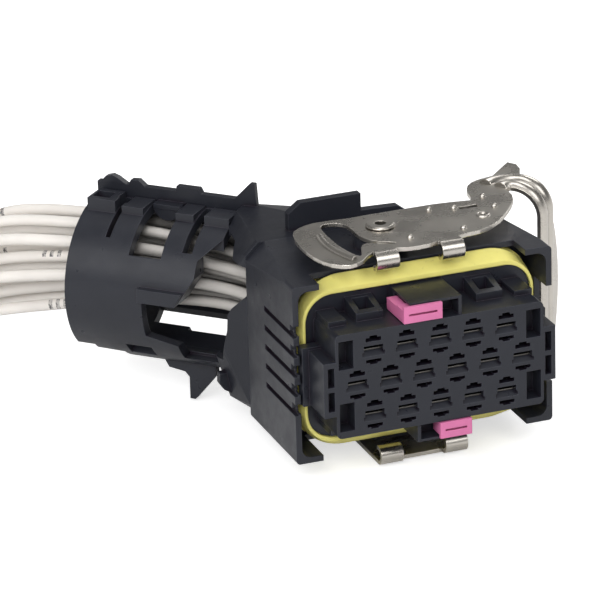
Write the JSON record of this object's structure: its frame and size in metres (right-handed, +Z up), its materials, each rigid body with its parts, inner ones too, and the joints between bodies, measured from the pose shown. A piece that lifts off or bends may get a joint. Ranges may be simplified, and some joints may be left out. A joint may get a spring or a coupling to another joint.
{
  "type": "connector pigtail",
  "caption": "Sealed rectangular wire-harness connector with a sheet-metal locking lever, sliding contact locks, an angled open-work outlet cover and a tail of loose wires.",
  "frame": {"origin": "centre of the mating face of the contact carrier", "axes": "-Y is the direction the connector mates in, +Z is up towards the slotted lever plate, +X is towards the lever's stirrup"},
  "size_m": [0.1137, 0.1103, 0.0355],
  "materials": {
    "black_plastic": "fine moulded grain",
    "carrier_plastic": "smooth moulded",
    "seal_yellow": "satin silicone",
    "lock_pink": "smooth moulded",
    "plated_steel": "nickel plated",
    "contact_metal": "tin plated",
    "wire_seal": "satin silicone",
    "wire_white": "smooth extruded"
  },
  "bodies": {
    "shell": {"housing": "black_plastic", "insert": "carrier_plastic", "peripheral_seal": "seal_yellow", "terminals": "contact_metal", "wire_seals": "wire_seal", "seal_retainer": "black_plastic", "upper_rivet": "plated_steel", "lower_rivet": "plated_steel", "cover_body": "black_plastic", "cover_door": "black_plastic", "wire_01": "wire_white", "wire_02": "wire_white", "wire_03": "wire_white", "wire_04": "wire_white", "wire_05": "wire_white", "wire_06": "wire_white", "wire_07": "wire_white", "wire_08": "wire_white", "wire_09": "wire_white", "wire_10": "wire_white", "wire_11": "wire_white", "wire_12": "wire_white", "wire_13": "wire_white", "wire_14": "wire_white", "wire_15": "wire_white", "wire_16": "wire_white"},
    "lever": {"lever": "plated_steel"},
    "upper_lock": {"upper_lock": "lock_pink"},
    "lower_lock": {"lower_lock": "lock_pink"}
  },
  "joints": [
    {"name": "lever_swing", "type": "hinge", "parent": "shell", "child": "lever", "pos_m": [-0.0022, 0.0172, 0], "axis": [0, 0, 1], "range_deg": [0, 45]},
    {"name": "upper_lock_slide", "type": "slide", "parent": "shell", "child": "upper_lock", "axis": [1, 0, 0], "range_m": [0, 0.0022]},
    {"name": "lower_lock_slide", "type": "slide", "parent": "shell", "child": "lower_lock", "axis": [-1, 0, 0], "range_m": [0, 0.0022]}
  ]
}
